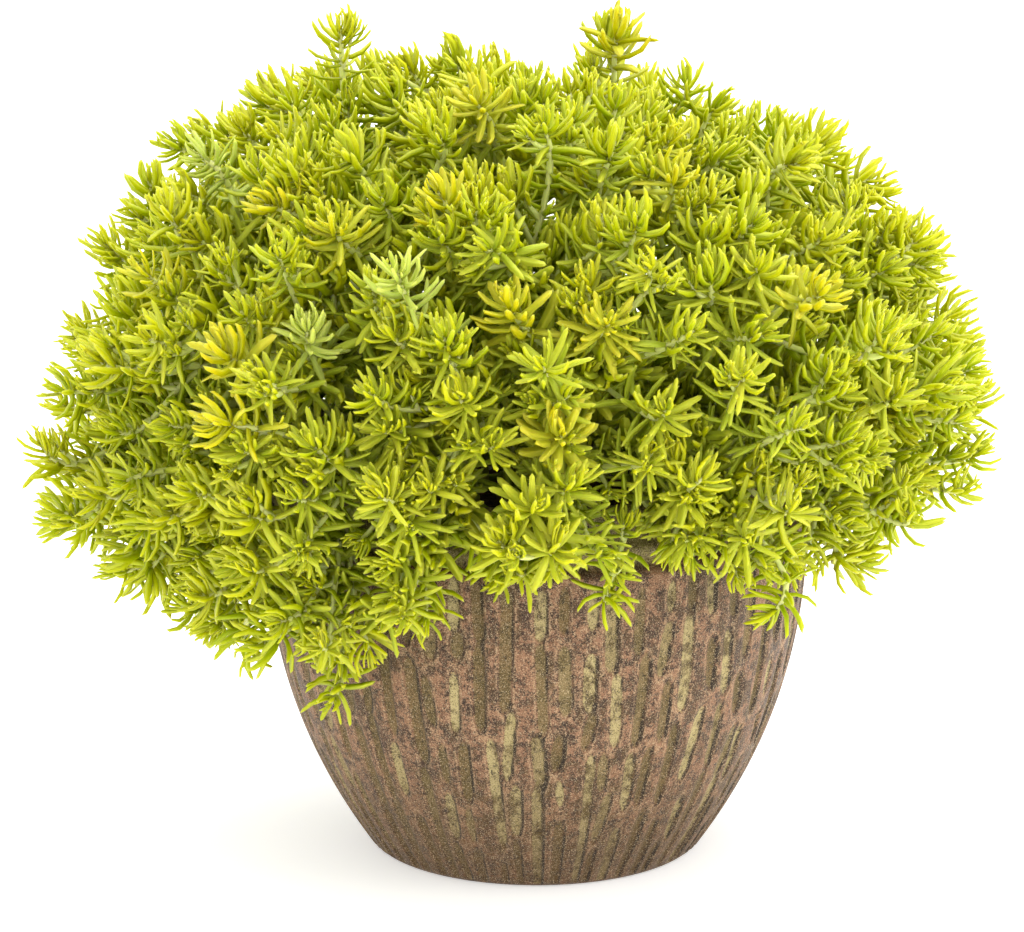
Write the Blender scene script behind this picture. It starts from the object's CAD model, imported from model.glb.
"""Looks of the potted golden sedum: a carved and glazed bowl, its potting mix and the leafy
stems rooted in it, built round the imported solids. Metres, +Z up."""

import math

import bmesh
import bpy
import numpy as np
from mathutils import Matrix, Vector, noise


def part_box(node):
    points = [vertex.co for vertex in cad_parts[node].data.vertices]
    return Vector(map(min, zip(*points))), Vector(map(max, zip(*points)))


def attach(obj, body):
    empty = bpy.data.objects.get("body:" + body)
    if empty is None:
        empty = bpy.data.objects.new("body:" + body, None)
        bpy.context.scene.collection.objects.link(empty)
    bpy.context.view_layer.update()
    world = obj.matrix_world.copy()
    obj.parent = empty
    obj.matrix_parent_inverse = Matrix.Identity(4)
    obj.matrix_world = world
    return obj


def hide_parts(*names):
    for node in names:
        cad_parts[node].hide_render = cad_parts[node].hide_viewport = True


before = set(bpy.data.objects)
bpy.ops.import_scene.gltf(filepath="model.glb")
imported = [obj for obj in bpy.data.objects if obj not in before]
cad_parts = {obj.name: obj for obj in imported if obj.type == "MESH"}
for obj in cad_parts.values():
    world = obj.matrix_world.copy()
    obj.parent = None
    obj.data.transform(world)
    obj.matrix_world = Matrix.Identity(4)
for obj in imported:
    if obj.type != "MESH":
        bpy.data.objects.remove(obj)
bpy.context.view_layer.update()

# ---- pot
# A stoneware bowl, thrown in one piece. A gouge has cut rows of upright flutes in its side, in
# strokes of uneven length, and the glaze has pooled olive in them and broken mauve-brown between.

LIP_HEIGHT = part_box("pot")[1].z
BOWL_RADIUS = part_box("pot")[1].x
BOWL_CURVE = 2.4
BOWL_ROWS = 66
ROW_SPREAD = 1.08
FOOT_RADIUS = 0.0600
FOOT_EDGE = 0.0015
GROOVE_HEIGHT = 0.1300
GROOVE_RADIUS = 0.0953
GROOVE_FLOOR = (-0.0010, 0.0009)
SHOULDER_DROP = 0.0042
SHOULDER = ((0.0006, 0.0030), (0.0019, 0.0020))
BEAD_HEIGHT = 0.1345
BEAD_RADIUS = 0.0975
BEAD_HALF = 0.0028
BEAD_TURNS = np.linspace(-1.15, 1.25, 6)
COLLAR_RADIUS = 0.0948
COLLAR_GAP = 0.0008
COLLAR_LEAN = 0.0003
COLLAR_MIDDLE = 0.1435
LIP_ROUND = 0.0022
LIP_TURNS = np.linspace(0, math.pi, 7)
WALL = 0.0075
POT_FLOOR = 0.0090
DRAIN_RADIUS = 0.0055
DRAIN_CIRCLE = 0.0260
DRAIN_COUNT = 3
DRAIN_TURN = 0.25
DRILL_SIDES = 32

FLUTES = 64
STEPS_PER_FLUTE = 8
CARVING_SEED = 4
PALE_SIDE = math.radians(300)
STROKE_TOP = 0.1250
STROKE_TOP_SPREAD = 0.003
STROKE_LAST_TOP = 0.010
STROKE_LAST_BOTTOM = 0.014
STROKE_PAST_FOOT = -0.008
STROKE_SHORTEST = 0.013
STROKE_LONGEST = 0.058
STROKE_LENGTHS = (1.2, 1.9)
STROKE_ASIDE = 0.15
STROKE_DRIFT = (0.04, 0.14)
STROKE_WIDTHS = (0.46, 0.66)
STROKE_DEPTHS = (0.6, 1.2)
STROKE_GAPS = (-0.004, 0.006)
STROKE_DEPTH = 0.0016
STROKE_END = 0.0075
OUTLINE_ACROSS = 1.8
OUTLINE_ALONG = 2.2
HOLLOW_CURVE = 0.7
EVEN_DEPTH = 0.8
LEANING_DEPTH = 0.35
WALL_LINE = 0.12
WALL_LINE_WIDTH = 0.20
WALL_LINE_SIDE = 1.6
FOOT_FADE = 0.004
FOOT_CUT = 0.25


def bowl_radius(height):
    """Outer radius of the bowl below its collar, before carving."""
    left = np.maximum(1 - height / GROOVE_HEIGHT, 0)
    return BOWL_RADIUS - (BOWL_RADIUS - FOOT_RADIUS) * left ** BOWL_CURVE


def gouge_strokes(draw):
    """Each stroke's flute, top, bottom, sideways drift, width, depth and glaze tone."""
    strokes = []
    for flute in range(FLUTES):
        facing = math.cos(2 * math.pi * flute / FLUTES - PALE_SIDE)
        top = STROKE_TOP + draw.uniform(-STROKE_TOP_SPREAD, STROKE_TOP_SPREAD)
        while top > STROKE_LAST_TOP:
            length = STROKE_SHORTEST + (STROKE_LONGEST - STROKE_SHORTEST) * draw.beta(*STROKE_LENGTHS)
            bottom = top - length if top - length > STROKE_LAST_BOTTOM else STROKE_PAST_FOOT
            aside = flute + draw.normal(0, STROKE_ASIDE)
            drift = draw.normal(*STROKE_DRIFT)
            tone = draw.uniform(0, 0.85) + 0.15 * facing
            width = draw.uniform(*STROKE_WIDTHS)
            depth = draw.uniform(*STROKE_DEPTHS)
            strokes.append((aside, top, bottom, drift, width, depth, tone))
            top = bottom - draw.uniform(*STROKE_GAPS)
    return strokes


def carve(azimuth, height):
    """How deep the cut is, how far in from its outline, its dark wall and its glaze's tone."""
    carved, wall, pooled = (np.zeros(azimuth.shape) for _ in range(3))
    inside = np.full(azimuth.shape, -1.0)
    turn = azimuth / (2 * math.pi) * FLUTES
    pitch = 2 * math.pi * bowl_radius(height) / FLUTES
    strokes = gouge_strokes(np.random.default_rng(CARVING_SEED))
    for flute, top, bottom, drift, width, depth, tone in strokes:
        half = width * pitch / 2
        across = turn - flute - drift * ((top - height) / (top - bottom) - 0.5)
        across = ((across + FLUTES / 2) % FLUTES - FLUTES / 2) * pitch / half
        end = min(STROKE_END, (top - bottom) / 2)
        past = np.maximum(np.maximum(height - top, bottom - height) / end + 1, 0)
        within = 1 - (np.abs(across) ** OUTLINE_ACROSS + past ** OUTLINE_ALONG) ** 0.5
        lean = np.clip(across, -1, 1)
        hollow = np.clip(1 - (1 - within) ** 2, 0, 1) ** HOLLOW_CURVE
        cut = depth * hollow * (EVEN_DEPTH + LEANING_DEPTH * lean) * (within > 0)
        shadow = np.exp(-((within - WALL_LINE) / WALL_LINE_WIDTH) ** 2) * np.clip(lean * WALL_LINE_SIDE, 0, 1)
        pooled = np.where(within > inside, tone, pooled)
        inside = np.maximum(inside, within)
        wall = np.maximum(wall, shadow * depth)
        carved = np.maximum(carved, cut)
    return carved, inside, wall, pooled


def pot_rows():
    """Radius and height of each row, from the middle of the foot up the outside and down inside."""
    under = [(0.0, 0.0), (FOOT_RADIUS * 0.5, 0.0), (FOOT_RADIUS - FOOT_EDGE, 0.0)]
    under += [(FOOT_RADIUS - FOOT_EDGE * 0.3, FOOT_EDGE * 0.25)]
    rise = np.linspace(0, 1, BOWL_ROWS) ** ROW_SPREAD
    heights = FOOT_EDGE + (GROOVE_HEIGHT - SHOULDER_DROP - FOOT_EDGE) * rise
    bowl = [(bowl_radius(height), height) for height in heights]
    shoulder = [(BOWL_RADIUS - inward, GROOVE_HEIGHT - drop) for inward, drop in SHOULDER]
    groove = [(GROOVE_RADIUS, GROOVE_HEIGHT + above) for above in GROOVE_FLOOR]
    swell = BEAD_RADIUS - GROOVE_RADIUS
    bead = [
        (GROOVE_RADIUS + swell * math.cos(turn), BEAD_HEIGHT + BEAD_HALF * math.sin(turn))
        for turn in BEAD_TURNS
    ]
    collar = [(COLLAR_RADIUS, BEAD_HEIGHT + BEAD_HALF + COLLAR_GAP)]
    collar += [(COLLAR_RADIUS - COLLAR_LEAN, COLLAR_MIDDLE)]
    half_lip = WALL / 2
    lip_middle = COLLAR_RADIUS - half_lip
    lip = [
        (lip_middle + half_lip * math.cos(turn), LIP_HEIGHT - LIP_ROUND + LIP_ROUND * math.sin(turn))
        for turn in LIP_TURNS
    ]
    inside = [(COLLAR_RADIUS - WALL, GROOVE_HEIGHT)]
    for height in np.linspace(GROOVE_HEIGHT * 0.7, POT_FLOOR, 3):
        inside.append((bowl_radius(height) - WALL, height))
    inside += [(FOOT_RADIUS * 0.4, POT_FLOOR), (0.0, POT_FLOOR)]
    return under + bowl + shoulder + groove + bead + collar + lip + inside, len(under)


def about_axis(radius, angle, height=0.0):
    """A place at a distance from the pot's axis and at an angle round it."""
    return Vector((radius * math.cos(angle), radius * math.sin(angle), height))


def ringed(rings, names=(), order=(0, 1, 2, 3)):
    """Rings of points joined by faces, the first ring closed by one. A point is its place and a
    value for each name. The order says from which corner and which way round a face goes."""
    bm = bmesh.new()
    layers = [bm.verts.layers.float.new(name) for name in names]
    made = []
    for ring in rings:
        made.append([bm.verts.new(place) for place, *_ in ring])
        for vert, (_, *values) in zip(made[-1], ring):
            for layer, value in zip(layers, values):
                vert[layer] = value
    if len(made[0]) > 1:
        bm.faces.new(made[0])
    for low, high in zip(made, made[1:]):
        around = max(len(low), len(high))
        for i in range(around):
            j = (i + 1) % around
            corners = [low[i % len(low)], low[j % len(low)], high[j % len(high)], high[i % len(high)]]
            bm.faces.new(list(dict.fromkeys(corners[k] for k in order)))
    return bm


def mesh_of(bm, name, smooth=True):
    """The shape that has been built, as a mesh of its own."""
    mesh = bpy.data.meshes.new(name)
    bm.to_mesh(mesh)
    bm.free()
    if smooth:
        mesh.shade_smooth()
    return mesh


def pot_mesh():
    """The turned and carved pot, closed all round. Its points carry what the glaze needs."""
    rows, first_carved = pot_rows()
    around = FLUTES * STEPS_PER_FLUTE
    azimuth = np.arange(around) / around * 2 * math.pi
    radius, height = (column[:, None] * np.ones(around) for column in np.array(rows).T)
    bowl = slice(first_carved, first_carved + BOWL_ROWS)
    grid = np.broadcast_to(azimuth, radius.shape)
    inside = np.full(radius.shape, -1.0)
    wall, pooled = (np.zeros(radius.shape) for _ in range(2))
    carved, inside[bowl], wall[bowl], pooled[bowl] = carve(grid[bowl], height[bowl])
    radius[bowl] -= carved * STROKE_DEPTH * np.clip(height[bowl] / FOOT_FADE, FOOT_CUT, 1)
    rings = []
    for row, (uncarved, level) in enumerate(rows):
        points = zip(radius[row], azimuth, inside[row], wall[row], pooled[row])
        ring = [(about_axis(reach, turn, level), *values) for reach, turn, *values in points]
        rings.append(ring if uncarved > 0 else [(Vector((0, 0, level)),)])
    return mesh_of(ringed(rings, ("inside", "wall", "pooled")), "carved_pot")


def feed(tree, socket, value):
    """Give a socket another socket's result, or a plain value."""
    if isinstance(value, bpy.types.NodeSocket):
        tree.links.new(value, socket)
    else:
        socket.default_value = value


def add_node(tree, kind, inputs=None, **settings):
    """A new node with its properties, then its inputs, given by name or number."""
    made = tree.nodes.new(kind)
    for name, value in settings.items():
        setattr(made, name, value)
    for key, value in (inputs or {}).items():
        feed(tree, made.inputs[key], value)
    return made


def math_of(tree, operation, first, second=0.0):
    return add_node(tree, "ShaderNodeMath", {0: first, 1: second}, operation=operation).outputs[0]


def times(tree, product, *factors):
    for factor in factors:
        product = math_of(tree, "MULTIPLY", product, factor)
    return product


def plus(tree, total, *terms):
    for term in terms:
        total = math_of(tree, "ADD", total, term)
    return total


def shares_of(tree, *parts):
    """Values added up, each with its own share."""
    return plus(tree, *(times(tree, value, share) for value, share in parts))


def vector_of(tree, operation, *values):
    settings = dict(enumerate(values))
    if operation == "SCALE":
        settings = {0: values[0], "Scale": values[1]}
    made = add_node(tree, "ShaderNodeVectorMath", settings, operation=operation)
    return made.outputs["Value" if operation == "LENGTH" else "Vector"]


def z_of(tree, vector):
    return add_node(tree, "ShaderNodeSeparateXYZ", {0: vector}).outputs["Z"]


def noise_of(tree, where, scale, detail, roughness=0.6):
    sizes = {"Vector": where, "Scale": scale, "Detail": detail, "Roughness": roughness}
    return add_node(tree, "ShaderNodeTexNoise", sizes).outputs["Fac"]


def band(tree, value, low, high):
    """0 at low and before it, 1 at high and past it, and a smooth rise between them."""
    reach = {"Value": value, "From Min": low, "From Max": high}
    return add_node(tree, "ShaderNodeMapRange", reach, interpolation_type="SMOOTHSTEP").outputs["Result"]


def range_of(tree, value, *limits):
    """A value carried over in proportion, from between two limits to between two others."""
    names = ("Value", "From Min", "From Max", "To Min", "To Max")
    return add_node(tree, "ShaderNodeMapRange", dict(zip(names, (value, *limits)))).outputs["Result"]


def blend_colour(tree, share, first, second):
    """From the first colour at share 0 to the second at share 1."""
    return add_node(tree, "ShaderNodeMix", {0: share, 6: first, 7: second}, data_type="RGBA").outputs[2]


def layered(tree, colour, *layers):
    """A colour under layers of paint: each has its strength and the shares or bands it lies in."""
    for paint, strength, *shares in layers:
        shares = [band(tree, *share) if isinstance(share, tuple) else share for share in shares]
        colour = blend_colour(tree, times(tree, strength, *shares), colour, paint)
    return colour


def own_value(tree, name):
    """A number that the mesh carries at each of its points."""
    return add_node(tree, "ShaderNodeAttribute", attribute_name=name).outputs["Fac"]


def new_material(name):
    """A material with its node tree, its shader and its place on the object."""
    made = bpy.data.materials.new(name)
    made.use_nodes = True
    tree = made.node_tree
    where = add_node(tree, "ShaderNodeTexCoord").outputs["Object"]
    return made, tree, tree.nodes["Principled BSDF"], where


def bump_of(tree, height, strength, distance):
    settings = {"Height": height, "Strength": strength, "Distance": distance}
    return add_node(tree, "ShaderNodeBump", settings).outputs["Normal"]


def set_shader(tree, shader, values):
    for name, value in values.items():
        feed(tree, shader.inputs[name], value)


def screen(red, green, blue):
    """A colour named by its screen values, 0 to 255, as the linear values that a shader takes."""
    shares = [value / 255 for value in (red, green, blue)]
    linear = [s / 12.92 if s <= 0.04045 else ((s + 0.055) / 1.055) ** 2.4 for s in shares]
    return (*linear, 1)


GLAZE_MAUVE = screen(76, 52, 37)
GLAZE_COPPER = screen(151, 110, 81)
GLAZE_DARK = screen(32, 21, 10)
GLAZE_FOOT = screen(82, 54, 20)
GLAZE_BROWN = screen(90, 65, 30)
GLAZE_OLIVE = screen(107, 91, 47)
GLAZE_STRAW = screen(194, 177, 122)
GLAZE_COLLAR = screen(132, 124, 66)
GLAZE_WORN = screen(190, 158, 120)
GLAZE_FLECK = screen(204, 182, 146)
# Each noise's scale to the metre, its detail and its roughness.
GLAZE_NOISES = ((95, 5, 0.7), (300, 4, 0.7), (1300, 3, 0.8), (2500, 2, 0.6))
STREAK_NOISE = (420, 4, 0.65)
STREAK_STRETCH = (1, 1, 0.09)


def glaze_material():
    """Mottled, granular glaze: mauve-brown and copper on the ridges, olive and straw in the cuts."""
    made, tree, shader, where = new_material("carved_glaze")
    height = z_of(tree, where)
    patch, cloud, grain, dust = (noise_of(tree, where, *sizes) for sizes in GLAZE_NOISES)
    streak = noise_of(tree, vector_of(tree, "MULTIPLY", where, STREAK_STRETCH), *STREAK_NOISE)
    inside = own_value(tree, "inside")
    gritty = shares_of(tree, (grain, 0.65), (cloud, 0.35))
    mottle = shares_of(tree, (patch, 0.38), (cloud, 0.34), (grain, 0.28))
    ragged = shares_of(tree, (inside, 1.0), (cloud, 0.6), (grain, 0.6))
    thick = shares_of(tree, (patch, 0.6), (cloud, 0.4))
    worn = shares_of(tree, (cloud, 0.4), (grain, 0.6))

    brown = plus(tree, band(tree, height, 0.080, 0.0), band(tree, patch, 0.52, 0.40))
    crest = times(tree, band(tree, inside, -0.40, -0.12), band(tree, inside, 0.04, -0.08))
    pool = band(tree, ragged, 0.66, 0.96)
    straw = times(tree, band(tree, own_value(tree, "pooled"), 0.45, 0.90), band(tree, thick, 0.40, 0.54))
    collar = band(tree, height, GROOVE_HEIGHT - 0.0025, GROOVE_HEIGHT + 0.0005)
    line = times(tree, own_value(tree, "wall"), band(tree, cloud, 0.34, 0.50))
    colour = layered(
        tree, GLAZE_MAUVE,
        (GLAZE_COPPER, 1.0, (mottle, 0.46, 0.55)),
        (GLAZE_BROWN, 0.60, brown, (streak, 0.43, 0.57)),
        (GLAZE_WORN, 0.55, crest, (gritty, 0.44, 0.56)),
        (GLAZE_OLIVE, 0.72, pool),
        (GLAZE_STRAW, 0.85, straw, (gritty, 0.34, 0.48), pool),
        (GLAZE_FOOT, 0.65, (height, 0.065, 0.0)),
        (GLAZE_COLLAR, 0.9, collar, (worn, 0.38, 0.52)),
        (GLAZE_DARK, 0.85, (gritty, 0.470, 0.39)),
        (GLAZE_DARK, 0.92, (line, 0.15, 0.62)),
        (GLAZE_FLECK, 0.7, (dust, 0.56, 0.66)),
        (GLAZE_DARK, 0.8, (dust, 0.44, 0.34)),
    )
    bumps = shares_of(tree, (grain, 0.7), (cloud, 0.8), (streak, 1.3))
    set_shader(tree, shader, {
        "Base Color": colour,
        "Roughness": range_of(tree, mottle, 0.35, 0.65, 0.42, 0.62),
        "Specular IOR Level": 0.30,
        "Normal": bump_of(tree, bumps, 0.7, 0.0010),
    })
    return made


def in_scene(name, mesh):
    made = bpy.data.objects.new(name, mesh)
    bpy.context.scene.collection.objects.link(made)
    return made


def finished_copy(source, name):
    """The shape that a modified object has come to, as a plain mesh at the origin."""
    graph = bpy.context.evaluated_depsgraph_get()
    return in_scene(name, bpy.data.meshes.new_from_object(source.evaluated_get(graph)))


def clear_away(spent):
    for source in spent:
        bpy.data.objects.remove(source)


def make_pot():
    turned = in_scene("undrilled_pot", pot_mesh())
    drills = []
    for i in range(DRAIN_COUNT):
        middle = about_axis(DRAIN_CIRCLE, 2 * math.pi * (i + DRAIN_TURN) / DRAIN_COUNT, POT_FLOOR / 2)
        bpy.ops.mesh.primitive_cylinder_add(
            vertices=DRILL_SIDES, radius=DRAIN_RADIUS, depth=POT_FLOOR * 3, location=middle
        )
        drills.append(bpy.context.object)
        cut = turned.modifiers.new("drain", "BOOLEAN")
        cut.operation = "DIFFERENCE"
        cut.object = drills[-1]
    pot = finished_copy(turned, "carved_pot")
    clear_away([turned] + drills)
    pot.data.materials.clear()
    pot.data.materials.append(glaze_material())
    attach(pot, "root")
    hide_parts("pot")


make_pot()

# ---- potting mix
# Peat and bark fines with a little perlite, filled to just below the rim. Its body is packed
# against the inside of the pot, and its crowned top is loose, with chips lying on it.

MIX_LOW, MIX_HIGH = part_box("potting_mix")
MIX_SLACK = 0.0006
MIX_RIM = COLLAR_RADIUS - WALL - MIX_SLACK
MIX_EDGE = 0.1340
MIX_GAP = 0.0012
MIX_AROUND = 96
MIX_TOP_RINGS = 26
MIX_SIDE_HEIGHTS = (0.1255, 0.095, 0.070, 0.045, 0.025)
LUMP_HEIGHT = 0.0016
LUMP_SINK = 0.4
LUMP_SCALES = (150, 420)
FINE_LUMPS = 0.6
CALM_RIM = 0.004
CHIP_SIZES = {
    "bark": (0.0062, 0.0034, 0.0014),
    "fibre": (0.0085, 0.0011, 0.0009),
    "perlite": (0.0030, 0.0028, 0.0025),
}
CHIP_CORNERS = (0.7, 1.25)
CHIP_COUNT = 480.0
CHIP_SCALES = (0.6, 1.3)
CHIP_LEAN = 0.6
LOOKS_UP = 0.6
PERLITE_FROM = 0.905


def crowned(radius):
    """Height of the mix's top at a distance from the pot's axis, before its lumps."""
    return MIX_EDGE + (MIX_HIGH.z - MIX_EDGE) * (1 - (radius / BOWL_RADIUS) ** 2)


def mix_mesh():
    """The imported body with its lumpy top, closed all round."""
    rows = [(MIX_RIM * (i / MIX_TOP_RINGS), None) for i in range(MIX_TOP_RINGS + 1)]
    for height in MIX_SIDE_HEIGHTS:
        inner = min(MIX_RIM, bowl_radius(height) - WALL - MIX_GAP)
        rows.append((inner, height))
    rows += [(bowl_radius(MIX_LOW.z) - WALL - MIX_GAP, MIX_LOW.z), (0.0, MIX_LOW.z)]
    rings = []
    for radius, height in rows:
        ring = []
        for i in range(MIX_AROUND if radius > 0 else 1):
            place = about_axis(radius, 2 * math.pi * i / MIX_AROUND)
            coarse, fine = (noise.noise(place * scale) for scale in LUMP_SCALES)
            lump = coarse + FINE_LUMPS * fine
            calm = min((MIX_RIM - radius) / CALM_RIM, 1)
            place.z = crowned(radius) + LUMP_HEIGHT * (lump * calm - LUMP_SINK) if height is None else height
            ring.append((place,))
        rings.append(ring)
    return mesh_of(ringed(rings, order=(0, 3, 2, 1)), "mix_body")


def chip_mesh(name, size, seed):
    """A torn chip: a ball of twenty faces drawn out to its size, with its corners pushed about."""
    draw = np.random.default_rng(seed)
    bm = bmesh.new()
    bmesh.ops.create_icosphere(bm, subdivisions=1, radius=0.5)
    for vert in bm.verts:
        vert.co *= draw.uniform(*CHIP_CORNERS)
        vert.co = Vector(side * length for side, length in zip(vert.co, size))
    return mesh_of(bm, name, smooth=False)


def mix_material():
    """Crumbly brown. Each chip's lot sets its bark's tone, and the highest lots are perlite."""
    made, tree, shader, where = new_material("potting_mix")
    crumb = noise_of(tree, where, 420, 5, 0.7)
    lot = own_value(tree, "lot")
    bark = blend_colour(tree, band(tree, lot, 0.1, 0.7), screen(60, 42, 28), screen(128, 92, 60))
    perlite = math_of(tree, "GREATER_THAN", lot, PERLITE_FROM)
    colour = layered(
        tree, screen(36, 26, 18),
        (screen(84, 62, 42), 1.0, (crumb, 0.35, 0.62)),
        (bark, 0.8, (lot, 0.01, 0.02)),
        (screen(206, 202, 190), 1.0, perlite),
    )
    set_shader(tree, shader, {
        "Base Color": colour,
        "Roughness": 0.95,
        "Specular IOR Level": 0.2,
        "Normal": bump_of(tree, crumb, 0.9, 0.0012),
    })
    return made


def random_of(tree, low, high, seed):
    limits = {2: low, 3: high, "Seed": seed}
    return add_node(tree, "FunctionNodeRandomValue", limits, data_type="FLOAT").outputs[1]


def random_vector(tree, low, high, seed):
    limits = {0: low, 1: high, "Seed": seed}
    return add_node(tree, "FunctionNodeRandomValue", limits, data_type="FLOAT_VECTOR").outputs[0]


def store(tree, geometry, name, value, domain="POINT", kind="FLOAT"):
    settings = {"Geometry": geometry, "Name": name, "Value": value}
    made = add_node(tree, "GeometryNodeStoreNamedAttribute", settings, data_type=kind, domain=domain)
    return made.outputs["Geometry"]


def new_tree(name, inputs):
    """A Geometry Nodes tree that takes and gives a shape, with its sizes as named inputs."""
    tree = bpy.data.node_groups.new(name, "GeometryNodeTree")
    tree.interface.new_socket("Geometry", in_out="INPUT", socket_type="NodeSocketGeometry")
    tree.interface.new_socket("Geometry", in_out="OUTPUT", socket_type="NodeSocketGeometry")
    for label, usual in inputs:
        kind = "NodeSocketInt" if isinstance(usual, int) else "NodeSocketFloat"
        tree.interface.new_socket(label, in_out="INPUT", socket_type=kind).default_value = usual
    return tree, add_node(tree, "NodeGroupInput").outputs


def joined(tree, parts):
    whole = add_node(tree, "GeometryNodeJoinGeometry")
    for part in parts:
        tree.links.new(part, whole.inputs[0])
    return whole.outputs[0]


def placed(tree, points, shapes, pick, turned, size):
    """One of the shapes, picked by its number in the list, at each of the points."""
    taken = [
        add_node(tree, "GeometryNodeObjectInfo", {"Object": shape, "As Instance": True}) for shape in shapes
    ]
    settings = {
        "Points": points, "Instance": joined(tree, [shape.outputs["Geometry"] for shape in reversed(taken)]),
        "Pick Instance": True, "Instance Index": pick, "Rotation": turned, "Scale": size,
    }
    return add_node(tree, "GeometryNodeInstanceOnPoints", settings).outputs["Instances"]


def finish_tree(tree, whole, material):
    plain = add_node(tree, "GeometryNodeRealizeInstances", {0: whole}).outputs[0]
    covered = add_node(tree, "GeometryNodeSetMaterial", {"Geometry": plain, "Material": material}).outputs[0]
    feed(tree, add_node(tree, "NodeGroupOutput").inputs[0], covered)


def loose_top_tree(chips, material):
    """Chips of bark and grains of perlite, turned at random, over the faces that look up."""
    tree, given = new_tree("loose_top", (("Chip Count", CHIP_COUNT), ("Seed", 7)))
    normal = add_node(tree, "GeometryNodeInputNormal").outputs[0]
    top = math_of(tree, "GREATER_THAN", z_of(tree, normal), LOOKS_UP)
    density = math_of(tree, "DIVIDE", given["Chip Count"], math.pi * MIX_RIM ** 2)
    spots = add_node(
        tree, "GeometryNodeDistributePointsOnFaces",
        {"Mesh": given["Geometry"], "Selection": top, "Density": density, "Seed": given["Seed"]},
    ).outputs["Points"]
    spin = random_vector(tree, (-CHIP_LEAN, -CHIP_LEAN, 0.0), (CHIP_LEAN, CHIP_LEAN, 2 * math.pi), 3)
    lot = random_of(tree, 0.03, 1.0, 5)
    white = times(tree, math_of(tree, "GREATER_THAN", lot, PERLITE_FROM), len(chips) - 1)
    woody = math_of(tree, "FLOOR", random_of(tree, 0, len(chips) - 1.001, 6))
    pick = math_of(tree, "MAXIMUM", white, woody)
    spots = store(tree, spots, "lot", lot)
    laid = placed(tree, spots, chips, pick, spin, random_of(tree, *CHIP_SCALES, 8))
    finish_tree(tree, joined(tree, [given["Geometry"], laid]), material)
    return tree


def make_mix():
    chips = [
        in_scene(name, chip_mesh(name, size, seed)) for seed, (name, size) in enumerate(CHIP_SIZES.items())
    ]
    body = in_scene("mix_body", mix_mesh())
    loosen = body.modifiers.new("loose_top", "NODES")
    loosen.node_group = loose_top_tree(chips, mix_material())
    mix = finished_copy(body, "crumbly_mix")
    clear_away([body] + chips)
    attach(mix, "root")
    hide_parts("potting_mix")


make_mix()

# ---- leafy stems
# Each rooted stem is one growth: a leader and the twigs that fork off it, every one ending in a
# leafy shoot. Narrow, fleshy leaves stand round the shoots in whorls, closed up at the tips.

LEAF_WIDTH = 0.150
LEAF_DEPTH = 0.098
LEAF_FOOT = 0.60
LEAF_FULL = 0.50
TAPER_POWER = 3
CURL_POWER = 1.5
KEEL = 0.72
BEND_STEPS = 100
SHORT = (0.0, 0.42, 0.89, 1.0)
BENT = (0.0, 0.30, 0.62, 0.90, 1.0)
# From the youngest to the oldest: the name, the curl in degrees and the rings of each leaf.
LEAF_KINDS = (
    ("bud", 44, SHORT), ("closed", 82, BENT), ("cupped", 68, BENT),
    ("open", 46, BENT), ("bowed", -26, BENT), ("old", 54, SHORT),
)

LEAF_GREEN = screen(166, 181, 0)
LEAF_LIME = screen(194, 198, 3)
LEAF_RIPE = screen(205, 201, 12)
LEAF_OLD = screen(148, 168, 3)
LEAF_GOLD = screen(204, 200, 4)
LEAF_GOLD_TIP = screen(222, 202, 18)
LEAF_MINT = screen(206, 222, 130)
LEAF_MARGIN = screen(204, 211, 96)
LEAF_TIP = screen(206, 205, 88)
LEAF_SHADED = screen(100, 126, 0)
LEAF_BLOTCH = screen(138, 158, 2)
TWIG_BARK = screen(220, 228, 136)
STEM_BARK = screen(196, 198, 110)
CORE_HEIGHT = 0.150
CORE_REACH = 0.135
CORE_STRETCH = (1, 1, 1.12)

# A shoot's whorls from its apex down: how many, how far apart, and their leaves up to a whorl.
WHORLS = 24
GROWN_WHORL = 11
LEAVES_TO_WHORL = ((0, 2), (2, 3), (4, 4), (8, 4), (12, 3), (WHORLS, 2))
FIRST_WHORL = 0.0005
FIRST_INTERNODE = 0.0010
INTERNODE_GROWTH = 1.27
LARGEST_INTERNODE = 0.0085
WHORL_TURN = 0.7
STEM_THICK = 0.0018
TWIG_THICK = 0.0012
TIP_THICK = 0.0007
YOUNG_REACH = 0.012
THICKENING = 0.05
LINE_STEP = 0.012
LINE_GAP = 0.0018
POINT_VALUES = ("count", "age", "thick", "tone", "spin", "vigour", "broad")

# How the leaves open, grow and turn old with their age, which is 1 from the grown whorl on, and
# how far they differ from each other.
OPENING_POWER = 2.2
YOUNGEST_LENGTH = 0.36
FULL_LENGTH_AGE = 0.5
KINDS_BY_AGE = (0.0, 0.75, 0.0, 4.2)
KIND_SPREAD = 1.6
TURN_SPREAD = 0.5
LEAF_LIFTS = (0.0, 0.35)
LEAF_LENGTHS = (0.88, 1.10)
LEAF_WIDTHS = (0.85, 1.15)
LEAF_HOOKS = (0.45, 1.5)
FACING_SPREAD = ((-0.35, -0.35, -0.05), (0.35, 0.35, 0.75))
WALL_PUSH = 1.3

# The solids' sizes: their tip and root squares, and how their twigs leave the leader.
TIP_SQUARE = 0.8 * 0.0070 * math.sqrt(2)
ROOT_SQUARE = 0.0020 * math.sqrt(2)
SQUARE_MATCH = 0.02
SQUARE_APART = 0.0005
SHOOT_LENGTH = 0.033
ROOT_CIRCLE = 0.074
ROOT_SINK = 0.004
OUTER_ORDER = 1.25
OUTER_FROM = 0.5
OUTER_LEAN = 0.25
OUTER_RISE = 0.045
RISE_SHARE = 0.34
ARRIVAL_SHARE = 0.36
PATH_POINTS = 61
FORK_START = 0.012
FORK_STEP = 0.0046
FORK_SHARE = 0.50
FORK_LEAST = 0.0016

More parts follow.
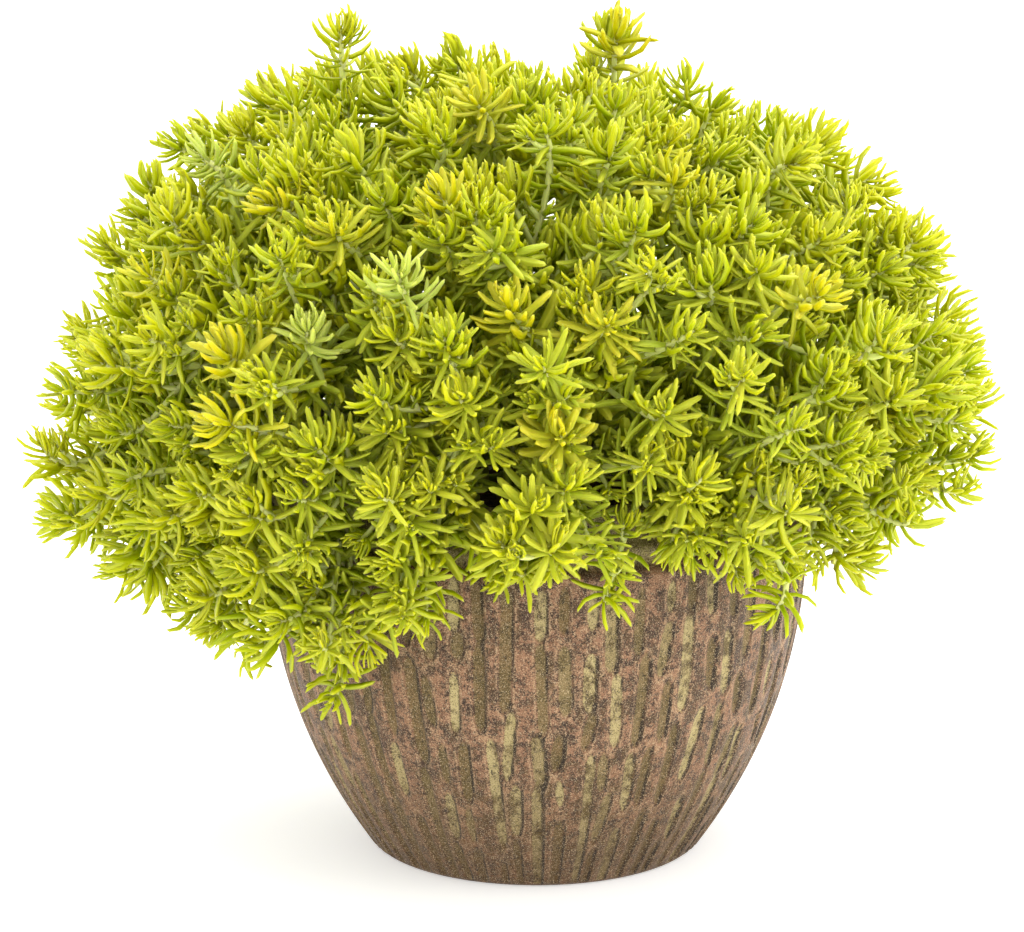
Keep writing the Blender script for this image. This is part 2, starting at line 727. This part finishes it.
# How far the leafy apex lies below a solid's tip, and how far its way and its place stray.
SHOOT_END = (0.0090, 0.34, 0.0022)
TALL_SHOOT_END = (0.0085, 0.04, 0.0005)
TALL_FROM = 0.300
UP_TURN = 0.3
EASE = 0.42
# Zones of the mound's edge: middle, reach and how much shorter the shoots in them end. Below
# zero they grow on instead, and zones that overlap add up.
HELD_BACK = (
    ((-0.165, 0.045, 0.205), 0.04, 0.017), ((-0.16, -0.035, 0.22), 0.02, 0.008),
    ((-0.15, 0.01, 0.24), 0.028, 0.004), ((-0.13, 0.03, 0.25), 0.03, -0.004),
    ((-0.11, 0.025, 0.265), 0.035, -0.002), ((-0.035, 0.03, 0.285), 0.02, -0.002),
    ((0.005, -0.04, 0.285), 0.015, -0.005), ((0.0, 0.07, 0.285), 0.012, 0.01),
    ((0.08, 0.02, 0.28), 0.01, 0.009), ((0.06, 0.07, 0.275), 0.02, 0.01),
    ((0.09, 0.07, 0.26), 0.052, 0.005), ((0.095, 0.02, 0.265), 0.012, -0.005),
    ((0.13, -0.02, 0.235), 0.06, 0.004), ((0.14, 0.02, 0.235), 0.03, 0.005),
    ((0.16, -0.01, 0.18), 0.035, -0.006), ((0.155, -0.05, 0.15), 0.02, -0.008),
    ((0.145, -0.03, 0.125), 0.03, 0.006), ((0.12, -0.03, 0.105), 0.048, 0.014),
    ((0.1, -0.065, 0.1), 0.012, 0.014), ((0.105, -0.105, 0.13), 0.01, 0.01),
    ((-0.16, -0.02, 0.12), 0.032, -0.008), ((-0.12, -0.06, 0.095), 0.045, 0.002),
    ((-0.175, 0.0, 0.145), 0.025, 0.006), ((-0.18, -0.01, 0.165), 0.015, -0.01),
    ((-0.075, -0.09, 0.085), 0.012, -0.008),
)
# Shoots that have turned colour, by the place of their tip: golden at a tone of 0.95 to 1, and
# pale mint at 0. The others take their tone by chance and by how far they face the sun.
TURNED_REACH = 0.008
TURNED_SHOOTS = (
    (1.00, ((0.02, -0.13, 0.23), (0.01, -0.15, 0.19), (-0.12, -0.11, 0.22), (-0.12, -0.12, 0.19))),
    (0.96, ((0.03, 0.02, 0.31), (-0.04, -0.08, 0.27), (-0.01, -0.13, 0.24), (-0.10, -0.06, 0.26))),
    (0.95, ((-0.03, -0.05, 0.29), (0.10, -0.10, 0.23), (0.02, -0.14, 0.20))),
    (0.00, ((-0.08, -0.12, 0.23), (-0.05, -0.13, 0.24), (0.09, 0.09, 0.24), (-0.12, -0.01, 0.26))),
)
SUNNY_WAY = (-0.42, -0.15, 0.90)
SUNNY_SHARE = 0.12
USUAL_TONES = (0.05, 0.85)
TONE_LIMITS = (0.05, 0.935)
GOLDEN_TONE = 0.94
GOLDEN_BREADTH = 0.28
RIPE_TONE = 0.90
RIPE_VIGOUR = 0.06
BREADTHS = (0.78, 1.14)
VIGOURS = (0.80, 1.08)

# Side shoots: between which depths below the apex each one leaves its line, and how likely it
# is. The inner ones fill the mound, and the core ones fill its middle, where few stems stand.
SIDE_SHOOTS = ((0.012, 0.022, 0.62), (0.026, 0.040, 0.85))
INNER_SHOOTS = tuple((depth, depth + 0.020, 0.95) for depth in np.arange(0.042, 0.150, 0.023))
CORE_SHOOTS = ((0.070, 0.095, 1.0), (0.095, 0.120, 1.0), (0.120, 0.145, 1.0))
TWIG_CORE_SHOOTS = ((0.045, 0.065, 1.0),)
CORE_FOOT = 0.050
SIDE_WHORLS = 5
SIDE_THICK = 1.3 * TIP_THICK
SIDE_LENGTHS = (0.009, 0.018)
SIDE_ROOM = 0.004
SIDE_LEANS = (0.8, 1.8)
SIDE_AIM = 0.7
SIDE_UP_TURN = 0.6
SIDE_EASE = 0.4
SIDE_POINTS = 10
SIDE_VIGOURS = (0.65, 0.95)
SIDE_TONES = (0.1, 0.85)
SIDE_OLDEST = 0.9
INNER_LENGTH = 1.4
INNER_BREADTH = 1.5
INNER_VIGOUR = 0.36
WALL_CLEARANCE = 0.0035
MILLIMETRE = 0.001


def leaf_mesh(name, curl, stations):
    """A leaf of length 1 that stands up +Z and bends towards its upper face, which is +X."""
    steps = np.linspace(0, 1, BEND_STEPS + 1)
    bend = curl * steps ** CURL_POWER
    line_x, line_z = (np.append(0, np.cumsum(way(bend))[:-1]) / BEND_STEPS for way in (np.sin, np.cos))
    rings = []
    for s in stations:
        angle = curl * s ** CURL_POWER
        middle = Vector((np.interp(s, steps, line_x), 0, np.interp(s, steps, line_z)))
        upper = Vector((math.cos(angle), 0, -math.sin(angle)))
        swell = LEAF_FOOT + (1 - LEAF_FOOT) * math.sin(min(s / LEAF_FULL, 1) * math.pi / 2)
        past = max(0, (s - LEAF_FULL) / (1 - LEAF_FULL))
        taper = max(0, 1 - past ** TAPER_POWER) ** 0.5
        half = Vector((0, LEAF_WIDTH / 2 * swell * taper, 0))
        deep = upper * LEAF_DEPTH * (0.75 + 0.25 * swell) * taper
        face = middle + deep * (1 - KEEL)
        ring = [(face + half, s, 1.0), (face - half, s, 1.0), (middle - deep * KEEL, s, 0.0)]
        rings.append(ring if s < 1 else [(middle, s, 1.0)])
    bm = ringed(rings, ("along", "across"), order=(1, 0, 3, 2))
    bmesh.ops.recalc_face_normals(bm, faces=bm.faces)
    return mesh_of(bm, name)


leaf_shapes = [
    in_scene(f"leaf_{name}", leaf_mesh(f"leaf_{name}", math.radians(curl), stations))
    for name, curl, stations in LEAF_KINDS
]


def leaf_material():
    """Fleshy leaves: chartreuse, greener low on the shoot, with pale margins and yellow tips."""
    made, tree, shader, where = new_material("golden_leaves")
    names = ("tone", "age", "along", "across", "stalk", "lot")
    tone, age, along, across, stalk, lot = (own_value(tree, name) for name in names)
    ripe = plus(tree, band(tree, tone, 0.45, 0.80), band(tree, along, 0.2, 1.0))
    gold = blend_colour(tree, band(tree, along, 0.3, 1.0), LEAF_GOLD, LEAF_GOLD_TIP)
    bark = blend_colour(tree, band(tree, stalk, 1.2, 2.0), TWIG_BARK, STEM_BARK)
    from_core = vector_of(tree, "SUBTRACT", where, (0, 0, CORE_HEIGHT))
    from_core = vector_of(tree, "LENGTH", vector_of(tree, "MULTIPLY", from_core, CORE_STRETCH))
    colour = layered(
        tree, LEAF_GREEN,
        (LEAF_LIME, 1.0, (lot, 0, 1)),
        (LEAF_RIPE, 0.5, ripe),
        (LEAF_OLD, 0.7, (age, 0.35, 0.9)),
        (gold, 1.0, (tone, 0.90, 0.96), (age, 0.95, 0.5)),
        (LEAF_MINT, 0.5, (tone, 0.04, 0.02)),
        (LEAF_MARGIN, 0.28, (across, 0.60, 1.0)),
        (LEAF_TIP, 0.35, (along, 0.86, 1.0)),
        (bark, 1.0, (stalk, 0.4, 0.6)),
        (LEAF_SHADED, 0.25, (from_core, CORE_REACH, 0.6 * CORE_REACH)),
        (LEAF_BLOTCH, 0.16, (noise_of(tree, where, 240, 3), 0.35, 0.7)),
    )
    set_shader(tree, shader, {
        "Base Color": colour,
        "Roughness": 0.44,
        "Specular IOR Level": 0.24,
        "Subsurface Weight": 0.50,
        "Subsurface Radius": (0.8, 1.0, 0.25),
        "Subsurface Scale": 0.0024,
        "Normal": bump_of(tree, noise_of(tree, where, 900, 3), 0.25, 0.0004),
    })
    return made


golden_leaves = leaf_material()


def moved(tree, place, way, distance):
    return vector_of(tree, "ADD", place, vector_of(tree, "SCALE", way, distance))


def swung(tree, first, second, angle):
    """The first of two square ways, turned towards the second by an angle."""
    kept = vector_of(tree, "SCALE", first, math_of(tree, "COSINE", angle))
    return moved(tree, kept, second, math_of(tree, "SINE", angle))


def level_of(tree, place):
    """A place's way from the pot's axis, its distance from the axis and its height."""
    level = vector_of(tree, "MULTIPLY", place, (1, 1, 0))
    return level, vector_of(tree, "LENGTH", level), z_of(tree, place)


def clear_of_pot(tree, pointing, place, length, clearance):
    """A leaf's way, turned outwards as far as its tip would go into the side of the pot."""
    level, distance, height = level_of(tree, moved(tree, place, pointing, length))
    furthest = math_of(tree, "MAXIMUM", distance, level_of(tree, place)[1])
    rise = math_of(tree, "SUBTRACT", 1.0, math_of(tree, "DIVIDE", height, GROOVE_HEIGHT))
    narrowing = math_of(tree, "POWER", math_of(tree, "MAXIMUM", rise, 0.0), BOWL_CURVE)
    wall = math_of(tree, "SUBTRACT", BOWL_RADIUS, times(tree, narrowing, BOWL_RADIUS - FOOT_RADIUS))
    short = math_of(tree, "SUBTRACT", plus(tree, wall, clearance), distance)
    below_lip = math_of(tree, "LESS_THAN", height, LIP_HEIGHT + MILLIMETRE)
    beside = math_of(tree, "GREATER_THAN", furthest, COLLAR_RADIUS - WALL / 2)
    push = times(tree, math_of(tree, "MAXIMUM", short, 0.0), below_lip)
    push = times(tree, math_of(tree, "DIVIDE", push, length), beside, WALL_PUSH)
    away = vector_of(tree, "NORMALIZE", level)
    return vector_of(tree, "NORMALIZE", moved(tree, pointing, away, push))


def named(tree, name, kind="FLOAT"):
    made = add_node(tree, "GeometryNodeInputNamedAttribute", {"Name": name}, data_type=kind)
    return made.outputs["Attribute"]


def leafy_stem_tree():
    """Lines with whorl points in, a leafy stem out: tubes round the lines, leaves at the points."""
    tree, given = new_tree("leafy_stem", (
        ("Leaf Length", 0.0166), ("Closed Tilt", math.radians(18)), ("Open Tilt", math.radians(102)),
        ("Unevenness", math.radians(20)), ("Scatter", 0.0014), ("Clearance", 0.0015), ("Seed", 1),
    ))

    def chance(low, high, stream):
        """A random number for each leaf, from a stream of its own."""
        return random_of(tree, low, high, plus(tree, given["Seed"], stream))

    lines = add_node(tree, "GeometryNodeMeshToCurve", {0: given["Geometry"]}).outputs[0]
    thick = named(tree, "thick")
    ring = add_node(tree, "GeometryNodeCurvePrimitiveCircle", {"Resolution": 4, "Radius": 1.0})
    tube = add_node(
        tree, "GeometryNodeCurveToMesh",
        {"Curve": lines, "Profile Curve": ring.outputs["Curve"], "Scale": thick, "Fill Caps": True},
    ).outputs[0]
    tube = store(tree, tube, "stalk", plus(tree, 1.0, band(tree, thick, TWIG_THICK, STEM_THICK)))

    spots = add_node(tree, "GeometryNodeCurveToPoints", {"Curve": lines}, mode="EVALUATED").outputs
    leaning = store(tree, spots["Points"], "axis", spots["Tangent"], kind="FLOAT_VECTOR")
    leaning = store(tree, leaning, "side", spots["Normal"], kind="FLOAT_VECTOR")
    count = named(tree, "count", "INT")
    copies = add_node(
        tree, "GeometryNodeDuplicateElements", {"Geometry": leaning, "Amount": count}, domain="POINT"
    ).outputs

    axis = named(tree, "axis", "FLOAT_VECTOR")
    side = named(tree, "side", "FLOAT_VECTOR")
    age = named(tree, "age")
    share = math_of(tree, "DIVIDE", copies["Duplicate Index"], count)
    astray = chance(-TURN_SPREAD, TURN_SPREAD, 0)
    turn = plus(tree, times(tree, share, 2 * math.pi), named(tree, "spin"), astray)
    outward = swung(tree, side, vector_of(tree, "CROSS_PRODUCT", axis, side), turn)
    shut = math_of(tree, "POWER", math_of(tree, "SUBTRACT", 1.0, age), OPENING_POWER)
    opened = range_of(tree, shut, 0.0, 1.0, given["Open Tilt"], given["Closed Tilt"])
    tilt = plus(tree, opened, times(tree, chance(-1.0, 1.0, 1), given["Unevenness"]))
    pointing = moved(tree, swung(tree, axis, outward, tilt), (0, 0, 1), chance(*LEAF_LIFTS, 9))
    pointing = vector_of(tree, "NORMALIZE", pointing)

    grown = math_of(tree, "MINIMUM", times(tree, age, 1 / FULL_LENGTH_AGE), 1.0)
    grown = math_of(tree, "SINE", times(tree, grown, math.pi / 2))
    grown = plus(tree, YOUNGEST_LENGTH, times(tree, grown, 1 - YOUNGEST_LENGTH))
    vigour = times(tree, named(tree, "vigour"), chance(*LEAF_LENGTHS, 2))
    length = times(tree, given["Leaf Length"], grown, vigour)
    place = add_node(tree, "GeometryNodeInputPosition").outputs[0]
    pointing = clear_of_pot(tree, pointing, place, length, given["Clearance"])

    slide = times(tree, chance(-1.0, 1.0, 7), given["Scatter"], band(tree, age, 0.0, 0.4))
    spread_out = add_node(
        tree, "GeometryNodeSetPosition",
        {"Geometry": copies["Geometry"], "Offset": vector_of(tree, "SCALE", axis, slide)},
    ).outputs["Geometry"]
    loose = random_vector(tree, *FACING_SPREAD, plus(tree, given["Seed"], 6))
    turned = add_node(
        tree, "FunctionNodeAxesToRotation", {0: pointing, 1: vector_of(tree, "ADD", axis, loose)},
        primary_axis="Z", secondary_axis="X",
    ).outputs[0]
    wide = times(tree, named(tree, "broad"), chance(*LEAF_WIDTHS, 3))
    hooked = times(tree, length, chance(*LEAF_HOOKS, 8))
    size = add_node(
        tree, "ShaderNodeCombineXYZ", {"X": hooked, "Y": times(tree, length, wide), "Z": length}
    ).outputs[0]
    mixed = times(tree, chance(-KIND_SPREAD, KIND_SPREAD, 4), band(tree, age, 0.05, 0.3))
    pick = math_of(tree, "ROUND", plus(tree, range_of(tree, age, *KINDS_BY_AGE), mixed))
    pick = math_of(tree, "MINIMUM", math_of(tree, "MAXIMUM", pick, 0), len(leaf_shapes) - 1)
    leaves = placed(tree, spread_out, leaf_shapes, pick, turned, size)
    leaves = store(tree, leaves, "lot", chance(0.0, 1.0, 5), "INSTANCE")
    finish_tree(tree, joined(tree, [leaves, tube]), golden_leaves)
    return tree


def squares_of(solid, side):
    """Centre and outward normal of each square face, given as two triangles, of a solid."""
    found = {}
    mesh = solid.data
    for face in mesh.polygons:
        corners = [mesh.vertices[i].co for i in face.vertices]
        ends = zip(corners, corners[1:] + corners[:1])
        edges = sorted(((start - end).length, tuple((start + end) / 2)) for start, end in ends)
        wanted = (side, side, side * math.sqrt(2))
        if max(abs(edge[0] - length) for edge, length in zip(edges, wanted)) < SQUARE_MATCH * side:
            middle = edges[2][1]
            found[tuple(round(v / SQUARE_APART) for v in middle)] = (np.array(middle), np.array(face.normal))
    return list(found.values())


def cubic(start, near, far, end, count):
    """Points on a cubic line that leaves its start towards near and comes to its end from far."""
    t = np.linspace(0, 1, count)[:, None]
    return (1 - t) ** 3 * start + 3 * (1 - t) ** 2 * t * near + 3 * (1 - t) * t ** 2 * far + t ** 3 * end


def smooth_line(start, start_way, end, end_way, ease, count=24):
    """A cubic line between two places that leaves and arrives in the ways given."""
    reach = np.linalg.norm(end - start) * ease
    return cubic(start, start + start_way * reach, end - end_way * reach, end, count)


def unit(way):
    return way / np.linalg.norm(way)


def depths_of(line):
    """Distance of each point of a line from its last point, along the line."""
    steps = np.linalg.norm(np.diff(line, axis=0), axis=1)
    return np.append(np.cumsum(steps[::-1])[::-1], 0)


def at_depth(line, depth):
    left = depths_of(line)
    return np.array([np.interp(-depth, -left, line[:, i]) for i in range(3)])


def way_at(line, depth):
    return unit(at_depth(line, depth - MILLIMETRE) - at_depth(line, depth + MILLIMETRE))


class SprigLines:
    """Lines of one stem, gathered as points, edges and the values that each point carries."""

    def __init__(self, draw):
        self.draw = draw
        self.points, self.edges, self.values = [], [], []

    def add(self, line, whorls, oldest, base_thick, vigour, tone, broad):
        """One line from its foot to its apex, with whorls in its upper part."""
        total = depths_of(line)[0]
        internodes = FIRST_INTERNODE * INTERNODE_GROWTH ** np.arange(whorls - 1)
        internodes = np.minimum(internodes, LARGEST_INTERNODE)
        depth = (FIRST_WHORL + np.append(0, np.cumsum(internodes))) * vigour
        spots = [(d, i) for i, d in enumerate(depth) if d < total - MILLIMETRE]
        taken = [d for d, _ in spots]
        for d in np.linspace(total, 0, 4 + int(total / LINE_STEP)):
            if min([abs(d - other) for other in taken], default=1) > LINE_GAP or d in (0, total):
                spots.append((d, None))
        spots.sort(key=lambda spot: -spot[0])
        first = len(self.points)
        phase = self.draw.uniform(0, 2 * math.pi)
        for d, whorl in spots:
            self.points.append(at_depth(line, d))
            thick = TIP_THICK + (TWIG_THICK - TIP_THICK) * min(d / YOUNG_REACH, 1)
            thick += max(base_thick - TWIG_THICK, 0) * min(max(d - YOUNG_REACH, 0) / THICKENING, 1)
            count = 0
            if whorl is not None:
                count = next(leaves for last, leaves in LEAVES_TO_WHORL if whorl <= last)
            age = min((whorl or 0) / GROWN_WHORL, 1) * oldest
            spin = phase + (whorl or 0) * WHORL_TURN
            self.values.append((count, age, thick, tone, spin, vigour, broad))
        self.edges += [(i, i + 1) for i in range(first, len(self.points) - 1)]

    def mesh(self, name):
        made = bpy.data.meshes.new(name)
        made.from_pydata([tuple(p) for p in self.points], self.edges, [])
        for key, values in zip(POINT_VALUES, zip(*self.values)):
            kind = "INT" if key == "count" else "FLOAT"
            made.attributes.new(key, kind, "POINT").data.foreach_set("value", values)
        return made


def clear_of_wall(start, end):
    """A side shoot's end, moved off the pot's wall to the side of it that the shoot starts on."""
    reach = math.hypot(end[0], end[1])
    inner = COLLAR_RADIUS - WALL - WALL_CLEARANCE
    outer = bowl_radius(max(end[2], 0)) + WALL_CLEARANCE
    if end[2] > LIP_HEIGHT + WALL_CLEARANCE or not inner < reach < outer:
        return end
    goal = inner if math.hypot(start[0], start[1]) < COLLAR_RADIUS - WALL / 2 else outer
    return end * (goal / reach, goal / reach, 1)


def add_side_shoots(lines, line, end_way, broad, rows):
    """Short shoots off a line, each at a depth within its row's range, if its chance comes up."""
    draw = lines.draw
    along = depths_of(line)[0]
    for low, high, likely in rows:
        depth = draw.uniform(low, high)
        if along < depth + SIDE_ROOM or draw.uniform(0, 1) > likely:
            continue
        start = at_depth(line, depth)
        way = way_at(line, depth)
        way = unit(way + draw.uniform(*SIDE_LEANS) * unit(np.cross(way, draw.normal(0, 1, 3))))
        aim = unit(way + end_way * SIDE_AIM)
        inner = low > SIDE_SHOOTS[-1][0]
        length = draw.uniform(*SIDE_LENGTHS) * (INNER_LENGTH if inner else 1)
        end = clear_of_wall(start, start + aim * length)
        ended = unit(aim + end_way * SIDE_UP_TURN)
        side_line = smooth_line(start, way, end, ended, SIDE_EASE, SIDE_POINTS)
        vigour = draw.uniform(*SIDE_VIGOURS) + INNER_VIGOUR * inner
        tone = draw.uniform(*SIDE_TONES)
        breadth = INNER_BREADTH if inner else broad
        lines.add(side_line, SIDE_WHORLS, SIDE_OLDEST, SIDE_THICK, vigour, tone, breadth)


def tone_of(tip, draw):
    """The shoot's own tone where it has turned colour, or one by chance and by the sun."""
    sunny = np.dot(tip - (0, 0, CORE_HEIGHT), SUNNY_WAY) / CORE_REACH
    usual = np.clip(draw.uniform(*USUAL_TONES) + SUNNY_SHARE * sunny, *TONE_LIMITS)
    for own, places in TURNED_SHOOTS:
        if min(np.linalg.norm(tip - place) for place in places) < TURNED_REACH:
            return own
    return usual


def leader_path(root, tip, aim):
    """The leader's line, from the root up and then out to its tip, and how far out its foot is."""
    foot = math.hypot(root[0], root[1])
    outward = root * (1, 1, 0) / max(foot, 1e-6)
    over = max((foot / ROOT_CIRCLE) ** OUTER_ORDER - OUTER_FROM, 0) / (1 - OUTER_FROM)
    length = np.linalg.norm(tip - root)
    up = (0, 0, 1) + OUTER_LEAN * over * outward
    rise = root + up * (RISE_SHARE * length + OUTER_RISE * over)
    return cubic(root, rise, tip - aim * ARRIVAL_SHARE * length, tip, PATH_POINTS), foot


def sprig_lines(solid, number):
    """The lines of a stem's leader, its twigs and their side shoots, found from its solid."""
    draw = np.random.default_rng(100 + number)
    tips, aims = (np.array(column) for column in zip(*squares_of(solid, TIP_SQUARE)))
    root = min((middle for middle, _ in squares_of(solid, ROOT_SQUARE)), key=lambda place: place[2])
    leader = int(np.linalg.norm(tips - tips.mean(axis=0), axis=1).argmin())
    path, foot = leader_path(root, tips[leader], aims[leader])
    bases = tips - aims * SHOOT_LENGTH
    sides = [i for i in range(len(tips)) if i != leader]
    sides.sort(key=lambda i: -np.linalg.norm(bases[i] - bases[leader]))
    highest = SHOOT_LENGTH + FORK_START
    room = (FORK_SHARE * depths_of(path)[0] - highest) / max(len(sides), 1)
    step = min(max(room, FORK_LEAST), FORK_STEP)
    forks = [highest + step * i for i in range(len(sides) + 1)][::-1]

    lines = SprigLines(draw)
    twigs = []
    sunk = path[0] - (0, 0, ROOT_SINK)
    for shoot, depth in [(leader, highest)] + list(zip(sides, forks[1:])):
        tip, aim = tips[shoot], aims[shoot]
        below, sway, shift = TALL_SHOOT_END if tip[2] > TALL_FROM else SHOOT_END
        end_way = unit(aim + draw.normal(0, sway, 3) + (0, 0, UP_TURN * (1 - aim[2])))
        held = sum(back for place, near, back in HELD_BACK if np.linalg.norm(tip - place) < near)
        apex = tip - end_way * below - aim * held + draw.normal(0, shift, 3)
        if shoot == leader:
            start = at_depth(path, depth)
            top = smooth_line(start, way_at(path, depth), apex, end_way, EASE)
            line = np.vstack([sunk, path[depths_of(path) > depth + MILLIMETRE], top])
        else:
            start = at_depth(path, depth + step / 2)
            way = unit(unit(bases[shoot] - start) + way_at(path, depth))
            line = smooth_line(start, way, apex, end_way, EASE)
        tone = tone_of(tip, draw)
        broad = draw.uniform(*BREADTHS) + GOLDEN_BREADTH * (tone > GOLDEN_TONE)
        vigour = draw.uniform(*VIGOURS) + RIPE_VIGOUR * (tone > RIPE_TONE)
        thick = STEM_THICK if shoot == leader else TWIG_THICK
        lines.add(line, WHORLS, 1.0, thick, vigour, tone, broad)
        core = CORE_SHOOTS if shoot == leader and foot < CORE_FOOT else ()
        add_side_shoots(lines, line, end_way, broad, SIDE_SHOOTS + INNER_SHOOTS + core)
        if foot < CORE_FOOT and shoot != leader:
            twigs.append((line, end_way))
    for line, end_way in twigs:
        add_side_shoots(lines, line, end_way, 1.0, TWIG_CORE_SHOOTS)
    return lines


leafy_stem = leafy_stem_tree()
sockets = {item.name: item.identifier for item in leafy_stem.interface.items_tree if item.in_out == "INPUT"}
stem_names = sorted(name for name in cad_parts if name.startswith("stem_"))
for number, name in enumerate(stem_names):
    lines = sprig_lines(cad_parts[name], number)
    sprig = in_scene("sprig_lines", lines.mesh("sprig_lines"))
    grow = sprig.modifiers.new("leafy_stem", "NODES")
    grow.node_group = leafy_stem
    grow[sockets["Seed"]] = 10 * number
    leafy = finished_copy(sprig, f"leafy_{name}")
    clear_away([sprig])
    leafy.data.shade_smooth()
    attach(leafy, "root")
    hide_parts(name)
clear_away(leaf_shapes)

# ---- studio
# A pale floor, broad soft light from above and from the right, and a long lens that looks at the
# pot from a little above its rim, as a nursery's catalogue shows its plants.

CAMERA_DISTANCE = 2.40
CAMERA_RISE = math.radians(15.7)
CAMERA_SIDE = -0.0087
AIM_HEIGHT = 0.140
VIEW_WIDTH = 0.3707
SENSOR_WIDTH = 36
FLOOR_REACH = 6.0
FLOOR_GLOW = 0.38
WORLD_LIGHT = 1.31
# Each panel's name, place, width and power.
PANELS = (("panel_top", (0.3, 0.5, 2.0), 1.6, 33), ("panel_right", (1.9, -0.6, 1.0), 1.4, 14))
PLANT_MIDDLE = Vector((0, 0, 0.15))


def place_camera():
    lens = bpy.data.cameras.new("camera")
    lens.sensor_width = SENSOR_WIDTH
    lens.lens = SENSOR_WIDTH * CAMERA_DISTANCE / VIEW_WIDTH
    lens.clip_end = 20
    camera = in_scene("camera", lens)
    away = CAMERA_DISTANCE * math.cos(CAMERA_RISE)
    camera.location = (CAMERA_SIDE, -away, AIM_HEIGHT + CAMERA_DISTANCE * math.sin(CAMERA_RISE))
    camera.rotation_euler = (math.pi / 2 - CAMERA_RISE, 0, 0)
    bpy.context.scene.camera = camera


def lay_floor():
    floor_material, tree, shader, _ = new_material("studio_floor")
    set_shader(tree, shader, {
        "Base Color": (0.88, 0.88, 0.87, 1),
        "Roughness": 0.9,
        "Emission Color": (1, 1, 1, 1),
        "Emission Strength": FLOOR_GLOW,
    })
    mesh = bpy.data.meshes.new("studio_floor")
    ends = (-FLOOR_REACH, FLOOR_REACH)
    mesh.from_pydata([(x, y, 0) for y in ends for x in ends], [], [(0, 1, 3, 2)])
    mesh.materials.append(floor_material)
    in_scene("studio_floor", mesh)


def light_room():
    """White surroundings, and square lamps that face the middle of the plant."""
    world = bpy.data.worlds.new("studio")
    world.use_nodes = True
    background = world.node_tree.nodes["Background"]
    background.inputs["Color"].default_value = (1, 1, 1, 1)
    background.inputs["Strength"].default_value = WORLD_LIGHT
    bpy.context.scene.world = world
    for name, place, width, power in PANELS:
        lamp = bpy.data.lights.new(name, "AREA")
        lamp.size = width
        lamp.energy = power
        panel = in_scene(name, lamp)
        panel.location = place
        panel.rotation_euler = (PLANT_MIDDLE - Vector(place)).to_track_quat("-Z", "Y").to_euler()


place_camera()
lay_floor()
light_room()
bpy.context.scene.view_settings.view_transform = "Standard"
